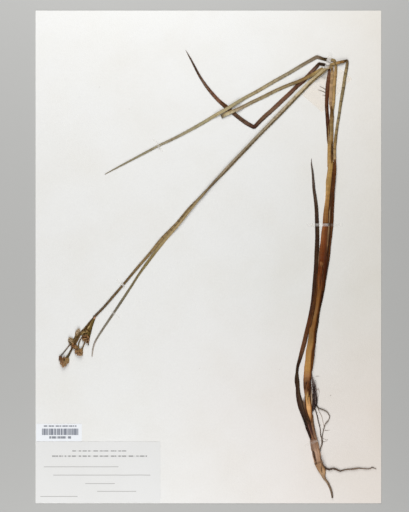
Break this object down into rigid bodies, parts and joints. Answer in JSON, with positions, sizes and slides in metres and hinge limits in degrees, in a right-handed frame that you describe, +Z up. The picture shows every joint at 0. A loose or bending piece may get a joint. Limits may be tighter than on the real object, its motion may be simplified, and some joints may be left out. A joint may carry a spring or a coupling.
{
  "type": "pressed plant specimen sheet",
  "caption": "Dried rush with folded stems, flower heads and roots, strapped flat to a tall sheet of stiff white paper with a blank label in one corner.",
  "frame": {"origin": "middle of the sheet's underside", "axes": "+X to the right of the sheet, +Y to its top, +Z up off the paper"},
  "size_m": [0.292, 0.416, 0.0041],
  "materials": {
    "sheet_paper": "uncoated stiff white mounting paper, slightly warm",
    "label_paper": "thin uncoated label paper",
    "sticker_paper": "smooth self-adhesive label paper",
    "clear_film": "thin clear film, slightly yellowed",
    "strap_paper": "gummed translucent paper strap",
    "pale_leaf": "dry pressed leaf, pale grey olive",
    "olive_leaf": "dry pressed leaf, pale olive",
    "olive_stem": "dry pressed stem, dull olive",
    "cut_stem": "dry pressed stem, golden olive",
    "dead_leaf": "withered leaf, dark brown",
    "dark_leaf": "withered leaf, greenish black to red brown",
    "dark_sheath": "dry leaf sheath, dark red brown",
    "red_sheath": "dry leaf sheath, red brown",
    "golden_stem": "dry pressed stem, golden brown, ribbed",
    "foot_sheath": "old scale sheath, purple brown",
    "rhizome_skin": "dry underground stem, pinkish brown",
    "root_skin": "dry fibrous root, grey brown",
    "flower_scale": "dry papery flower scales, orange brown",
    "bract_green": "dry bract, olive brown"
  },
  "bodies": {
    "root": {"mounting_sheet": "sheet_paper", "collection_label": "label_paper", "catalogue_sticker": "sticker_paper", "film_patch": "clear_film", "flowering_stem": "olive_stem", "long_leaf": "olive_leaf", "upper_leaf": "pale_leaf", "cut_stem": "cut_stem", "withered_leaf": "dead_leaf", "basal_leaf": "dark_leaf", "side_sheath": "dark_sheath", "upper_stem": "golden_stem", "stem_sheath": "red_sheath", "lower_stem": "golden_stem", "base_sheath": "foot_sheath", "rhizome": "rhizome_skin", "end_root": "root_skin", "side_root": "root_skin", "root_tuft": "root_skin", "hanging_root": "root_skin", "loop_root": "root_skin", "flower_bract": "bract_green", "flower_ray_1": "bract_green", "flower_ray_2": "bract_green", "flower_ray_3": "bract_green", "flower_ray_4": "bract_green", "flower_ray_5": "bract_green", "flower_head_1": "flower_scale", "flower_head_2": "flower_scale", "flower_head_3": "flower_scale", "flower_head_4": "flower_scale", "flower_head_5": "flower_scale", "flower_head_6": "flower_scale", "strap_1": "strap_paper", "strap_2": "strap_paper", "strap_3": "strap_paper", "strap_4": "strap_paper", "strap_5": "strap_paper", "strap_6": "strap_paper"}
  },
  "joints": []
}
